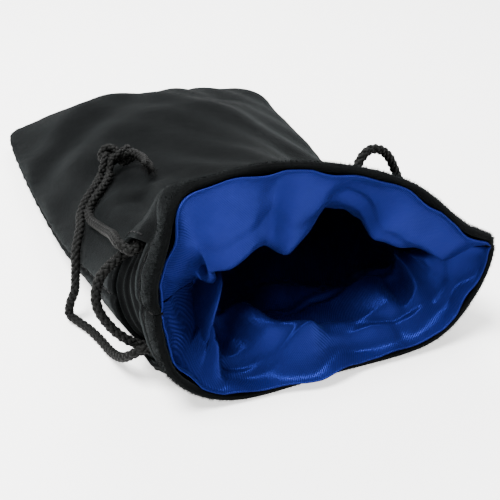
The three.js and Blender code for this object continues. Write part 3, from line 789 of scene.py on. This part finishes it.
def frayed_tuft(parts, rng, at, direction):
    """Loose fibres that fan out of a cut cord end."""
    for _ in range(TUFT_FIBRES):
        spread = rng.normal(0, 0.36, 3)
        way = direction + spread
        way /= np.linalg.norm(way)
        from_point = at + rng.normal(0, 0.55, 3) - direction * 0.8
        bend = rng.normal(0, 0.35, 3)
        reach = TUFT_LENGTH * rng.uniform(0.5, 1.0)
        t = np.linspace(0, 1, 5)[:, None]
        line = from_point + way * t * reach + bend * t ** 2 * reach * 0.6
        line[:, 2] = np.maximum(line[:, 2], 0.2)
        parts.add(*tube_rings(line, np.linspace(0.13, 0.05, 5), 4))


def knot(name, body, middle, along, across, mirror, lead, tail, seed):
    """An overhand knot of the doubled cord, with two frayed tails."""
    rng = np.random.default_rng(seed)
    route = [np.array(p, float) for p in lead] + overhand(middle, along, across, mirror)
    line = smooth_path(route + [np.array(p, float) for p in tail], BRAID_STEP)
    _, side, _ = path_frame(line)
    parts = Parts()
    for way in (-1, 1):
        strand = line + side * way * KNOT_CORD_D * STRANDS_APART
        strand[:, 2] = np.maximum(strand[:, 2], KNOT_CORD_D / 2 + 0.1)
        add_braid(parts, strand, KNOT_CORD_D, phase=way)
        direction = strand[-1] - strand[-4]
        frayed_tuft(parts, rng, strand[-1], direction / np.linalg.norm(direction))
    return finish_piece(parts.object(name + "_overhand"), body, CORD_LOOK, "braided_cord", name)


knots = {}
for count, (name, plan) in enumerate(KNOTS.items()):
    knots[name] = knot(name, seed=KNOT_SEED + count, **plan)
for node_name, (piece, path) in free_cords.items():
    on_it = [knots[name] for name in FREE_ENDS[node_name][2]]
    round(path_length(path) * MM, 3)
    [tuple(p * MM) for p in path]

# ---------- Velvet ----------
RIM_OUT = 0.5                # the velvet's folded rim stands this far past the mouth
RIM_THICK = 2.3
PANEL_GAP = 0.006            # in u, from a seam to a panel's edge
U_STEP = 0.045
Y_STEP = 1.1


def cloth_ys(last):
    """Where a panel's rows are, from past the mouth to its last y, closer at the rim and the casing."""
    rim = MOUTH_Y - RIM_OUT + np.array([0, 0.03, 0.12, 0.27, 0.5, 0.8, 1.15, 1.6])
    near = np.arange(rim[-1] + 0.6, ROW_BACK_Y + 6, Y_STEP / 2)
    gap = np.array([CASING_Y - OPENING_HALF, CASING_Y + OPENING_HALF])
    far = np.arange(near[-1] + Y_STEP, last - 3, Y_STEP)
    close = last - np.array([3, 2.2, 1.5, 1, 0.6, 0.3, 0.12, 0])
    return np.unique(np.round(np.concatenate([rim, near, gap, far, close]), 3))


def panel_us(first_seam, last_seam, exits, gap=PANEL_GAP):
    """Where a panel's columns are, closer beside its two seams."""
    low, high = first_seam + gap, last_seam - gap
    even = np.linspace(low, high, int((high - low) / U_STEP))
    beside = np.array([0.02, 0.05, 0.09, 0.15])
    return np.unique(np.round(np.concatenate([even, low + beside, high - beside, exits]), 4))


def velvet_thickness(y):
    """The velvet is folded over at the rim and thins into the far seam."""
    fold_over = 1 - smoothstep(y, MOUTH_Y + 1.5, MOUTH_Y + 7)
    thin_end = 1 - 0.6 * smoothstep(y, END_Y - 5, END_Y)
    return (VELVET + (RIM_THICK - VELVET) * fold_over) * thin_end


def edge_share(from_edge, thick):
    """How much of its half thickness the cloth has at a distance from a rounded edge."""
    inside = np.clip(from_edge / (thick / 2), 0, 1)
    return np.sqrt(1 - (1 - inside) ** 2)


def velvet_rises(u, y, top):
    """Heights of the velvet's outer and inner faces over the bag's outer shape."""
    thick = velvet_thickness(y)
    groove = 0.9 * np.exp(-(from_seam(u) * MM_PER_U / 1.6) ** 2)
    base = PUFF_OUT * puff(y) + velvet_folds(u, y, top) - groove
    share = edge_share(y - (MOUTH_Y - RIM_OUT), thick)
    middle = base - thick / 2
    return middle + share * thick / 2, middle - share * thick / 2


def velvet_panel(name, top, first_seam, last_seam, exits, node_name):
    """One velvet panel, without the gaps that the drawstrings leave by."""
    ys = cloth_ys(END_Y)
    us = panel_us(first_seam, last_seam, exits)
    y, u = grid(ys, us)
    outer, inner = velvet_rises(u, y, top)

    def filled(at_y, at_u):
        return (abs(at_y - CASING_Y) > OPENING_HALF) | ((at_u > exits[0]) & (at_u < exits[1]))

    piece = closed_sheet(name, ys, us, skin(u, y, outer), skin(u, y, inner), filled)
    return finish_piece(piece, "bag", VELVET_LOOK, "velvet", node_name)


UPPER = (LEFT_SEAM, RIGHT_SEAM, (EXIT["left_upper"], EXIT["right_upper"]))
LOWER = (RIGHT_SEAM, ROUND, (EXIT["right_lower"], EXIT["left_lower"]))
velvet_top = velvet_panel("velvet_top_panel", True, *UPPER, "velvet_upper_panel")
velvet_bottom = velvet_panel("velvet_bottom_panel", False, *LOWER, "velvet_lower_panel")

# ---------- Lining ----------
LINING_END = 93
LINING_GAP = 0.02            # in u, so the seam shows as a dark line


def lining_panel(name, first_seam, last_seam, node_name):
    """One satin panel, folded as the velvet is and with its own folds standing in from it."""
    ys = cloth_ys(LINING_END)
    us = panel_us(first_seam, last_seam, (), LINING_GAP)
    y, u = grid(ys, us)
    near_rim = 1 - smoothstep(y, MOUTH_Y, MOUTH_Y + 8)
    clear = VELVET + LAYER_GAP + (RIM_THICK - VELVET - 0.5) * near_rim + PUFF_IN * 1.3 * puff(y)
    velvet_rise = velvet_folds(u, y, first_seam == LEFT_SEAM)
    rolled = np.exp(-((around_mm(u) - GIRTH_MM[-1] - SPILL_AT) / SPILL_WIDTH) ** 2) * near_rim
    tuck = 0.35 * np.exp(-(from_seam(u) * MM_PER_U / 1.4) ** 2)
    share = edge_share(y - (MOUTH_Y - RIM_OUT), SATIN)
    middle = velvet_rise - (clear + lining_folds(u, y) - tuck) - SATIN / 2
    outer, inner = middle + share * SATIN / 2, middle - share * SATIN / 2
    ahead = y - SPILL * rolled
    piece = closed_sheet(name, ys, us, skin(u, ahead, outer), skin(u, ahead, inner), everywhere)
    return finish_piece(piece, "bag", SATIN_LOOK, "satin", node_name)


satin_top = lining_panel("satin_top_panel", LEFT_SEAM, RIGHT_SEAM, "lining_upper_panel")
satin_bottom = lining_panel("satin_bottom_panel", RIGHT_SEAM, ROUND, "lining_lower_panel")


# ---------- Facings ----------
FACING_HALF = 8.7
FACING_UNDER = 0.2           # in u, how far a strip goes under the casing's ends
FACING_THICK = 0.5
RIDGE_PITCH = 4.4


def facing(name, from_u, to_u, node_name):
    """The strip of velvet that backs a gap in the casing, with ridges along it."""
    from_u, to_u = from_u - FACING_UNDER, to_u + FACING_UNDER
    ys = np.linspace(CASING_Y - FACING_HALF, CASING_Y + FACING_HALF, 57)
    us = np.linspace(from_u, to_u, 60)
    y, u = grid(ys, us)
    tucked = 1 - smoothstep(np.minimum(u - from_u, to_u - u), 0.12, 0.34)
    ridges = 0.35 * np.cos((y - CASING_Y) * 2 * math.pi / RIDGE_PITCH) * (1 - tucked)
    top = lip_rise(u, y) - 1.05 + (ridges - 1.95 - 0.1 * tucked) * puff(y)
    piece = closed_sheet(name, ys, us, skin(u, y, top), skin(u, y, top - FACING_THICK), everywhere)
    return finish_piece(piece, "bag", VELVET_LOOK, "velvet", node_name)


facing("left_facing_strip", EXIT["left_lower"] - ROUND, EXIT["left_upper"], "left_casing_facing")
facing("right_facing_strip", EXIT["right_upper"], EXIT["right_lower"], "right_casing_facing")

# ---------- Stitching ----------
STITCH = 2.6
STITCH_GAP = 0.7
THREAD_R = 0.2
STITCH_PATH_STEP = 0.4


def stitches(name, path, look, slot, node_name):
    """Separate stitches along a path, each dipping into the cloth at both ends."""
    _, side, up = path_frame(path)
    spacing = path_length(path) / (len(path) - 1)
    per = max(3, int(round(STITCH / spacing)))
    skip = max(1, int(round(STITCH_GAP / spacing)))
    parts = Parts()
    for start in range(0, len(path) - per, per + skip):
        line = path[start:start + per + 1]
        dip = np.sin(np.linspace(0, math.pi, len(line))) ** 0.6
        parts.add(*tube_rings(line, THREAD_R * (0.55 + 0.45 * dip), 6))
    return finish_piece(parts.object(name), "bag", look, slot, node_name)


def skin_path(us, ys, rise):
    """A smooth path at a height over the bag's outer shape."""
    return smooth_path(list(skin(us, ys, rise)), STITCH_PATH_STEP)


ROW_US = np.linspace(LEFT_SEAM + 0.1, ROUND - 0.1, 90)
SIDE_YS = np.array([ROW_BACK_Y + 2.5, -62, -46, -28, -10, 10, 30, 50, 70, 84, 92])


def row_path(y):
    """A row of stitching round the bag."""
    lift = velvet_folds(ROW_US, np.full_like(ROW_US, y), True)
    return skin_path(ROW_US, y, 0.25 + lift)


stitches("casing_front_row_stitches", row_path(ROW_FRONT_Y), THREAD_LOOK, "black_thread",
         "casing_front_row_thread")
stitches("casing_back_row_stitches", row_path(ROW_BACK_Y), THREAD_LOOK, "black_thread",
         "casing_back_row_thread")

HEMS = {
    "left_upper_casing_end_hem": EXIT["left_upper"] + 0.1,
    "left_lower_casing_end_hem": EXIT["left_lower"] - 0.1,
    "right_upper_casing_end_hem": EXIT["right_upper"] - 0.08,
    "right_lower_casing_end_hem": EXIT["right_lower"] + 0.12,
}
HEM_YS = CASING_Y + np.linspace(-6.4, 6.4, 12)
for hem, u in HEMS.items():
    lift = PUFF_OUT * puff(HEM_YS) + velvet_folds(np.full_like(HEM_YS, u), HEM_YS, u < RIGHT_SEAM) + 0.15
    stitches(hem + "_stitches", skin_path(u, HEM_YS, lift), THREAD_LOOK, "black_thread", hem)


def three_sides(rise):
    """The seam's line down the left side, across the sewn end and back up the right side."""
    left = skin(LEFT_SEAM, SIDE_YS, rise)
    right = skin(RIGHT_SEAM, SIDE_YS, rise)
    ends = outline(np.array([LEFT_SEAM, RIGHT_SEAM], float), np.array([END_Y, END_Y], float))
    across = [ends[0] + (ends[1] - ends[0]) * share + np.array([0, rise, 0])
              for share in (0.06, 0.3, 0.5, 0.7, 0.94)]
    return smooth_path(list(left) + across + list(right[::-1]), STITCH_PATH_STEP)


stitches("shell_seam_stitches", three_sides(-0.7), THREAD_LOOK, "black_thread", "shell_seam_thread")
stitches("lining_seam_stitches", three_sides(-1.9), BLUE_THREAD_LOOK, "blue_thread", "lining_seam_thread")
HEADER_YS = np.array([MOUTH_Y + 0.8, MOUTH_Y + 2.5, MOUTH_Y + 3.6, ROW_FRONT_Y - 2.2])
for seam_name, seam in (("left", LEFT_SEAM), ("right", RIGHT_SEAM)):
    stitches(seam_name + "_header_seam_stitches", skin_path(seam, HEADER_YS, -0.7),
             THREAD_LOOK, "black_thread", seam_name + "_header_seam_thread")

# ---------- Pile ----------
RIM_FIBRES = 11000
BODY_FIBRES = 26000
FIBRE_HALF = 0.055
FIBRE_FOOT = 0.1             # how deep a fibre stands in the cloth


def fibres(name, u, y, foot_rise, length, rng):
    """Short fibres standing on the velvet, each a thin three-sided spike."""
    foot = skin(u, y, foot_rise)
    tip = skin(u, y, foot_rise + 1.0)
    out = tip - foot
    out /= np.linalg.norm(out, axis=1)[:, None]
    out[:, 2] = np.maximum(out[:, 2], -0.2)
    way = out + rng.normal(0, 0.33, out.shape)
    way /= np.linalg.norm(way, axis=1)[:, None]
    count = len(u)
    top = foot + way * length[:, None]
    top[:, 2] = np.maximum(top[:, 2], 0.05)
    side = np.cross(way, rng.normal(0, 1, way.shape))
    side /= np.linalg.norm(side, axis=1)[:, None]
    other = np.cross(way, side)
    ring = [foot + FIBRE_HALF * (math.cos(a) * side + math.sin(a) * other) for a in (0, 2.094, 4.189)]
    points = np.stack(ring + [top], 1).reshape(-1, 3)
    base = np.arange(count) * 4
    faces = np.concatenate([np.stack([base + a, base + b, base + c], 1)
                            for a, b, c in ((0, 1, 3), (1, 2, 3), (2, 0, 3), (2, 1, 0))])
    piece = mesh_object(name, points, faces.tolist())
    return finish_piece(piece, "bag", VELVET_LOOK, "velvet")


def pile_foot(u, y, on_top):
    """The height that fibres stand at, on the upper panel or the lower one."""
    return np.where(on_top, velvet_rises(u, y, True)[0], velvet_rises(u, y, False)[0]) - FIBRE_FOOT


pile_rng = np.random.default_rng(7)
rim_u = pile_rng.uniform(0, ROUND, RIM_FIBRES)
rim_y = MOUTH_Y - RIM_OUT + 0.25 + pile_rng.exponential(2.6, RIM_FIBRES).clip(0, 6)
rim_rise = pile_foot(rim_u, rim_y, rim_u < RIGHT_SEAM)
fibres("rim_pile", rim_u, rim_y, rim_rise, pile_rng.uniform(0.5, 1.15, RIM_FIBRES), pile_rng)
body_u = pile_rng.uniform(LEFT_SEAM - 1.0, RIGHT_SEAM + 0.9, BODY_FIBRES)
body_y = pile_rng.uniform(MOUTH_Y + 5, END_Y - 1, BODY_FIBRES)
in_gap = (abs(body_y - CASING_Y) < OPENING_HALF) & (
    (body_u < EXIT["left_upper"]) | (body_u > EXIT["right_upper"]))
body_u, body_y = body_u[~in_gap], body_y[~in_gap]
body_rise = pile_foot(body_u, body_y, (body_u >= LEFT_SEAM) & (body_u <= RIGHT_SEAM))
fibres("body_pile", body_u, body_y, body_rise, pile_rng.uniform(0.25, 0.5, len(body_u)), pile_rng)

# ---------- The cloth pieces paired with other pieces, listed but not used ---
for piece, on in ((velvet_top, [velvet_bottom]), (velvet_bottom, ["velvet_lower_panel"])):
    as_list(on)

# ---------- Studio ----------
FLOOR_HALF = 3000
floor = mesh_object("floor", [[-FLOOR_HALF, -FLOOR_HALF, 0], [FLOOR_HALF, -FLOOR_HALF, 0],
                              [FLOOR_HALF, FLOOR_HALF, 0], [-FLOOR_HALF, FLOOR_HALF, 0]], [(0, 1, 2, 3)])
floor.data.materials.append(floor_material())

world = bpy.data.worlds.new("studio")
bpy.context.scene.world = world
world.use_nodes = True
background = world.node_tree.nodes["Background"]
background.inputs["Color"].default_value = (0.97, 0.985, 1.0, 1)
background.inputs["Strength"].default_value = 0.75


def area_light(name, at, towards, size, power):
    """A round soft light, in metres and watts."""
    data = bpy.data.lights.new(name, "AREA")
    data.shape = "DISK"
    data.size = size
    data.energy = power
    light = bpy.data.objects.new(name, data)
    light.location = at
    light.rotation_euler = (Vector(towards) - Vector(at)).to_track_quat("-Z", "Y").to_euler()
    bpy.context.scene.collection.objects.link(light)


area_light("key", (-0.3, 0.02, 0.9), (0, -0.02, 0.02), 0.5, 36.0)
area_light("back", (0.35, 0.75, 0.7), (0, 0, 0.02), 0.6, 12.0)
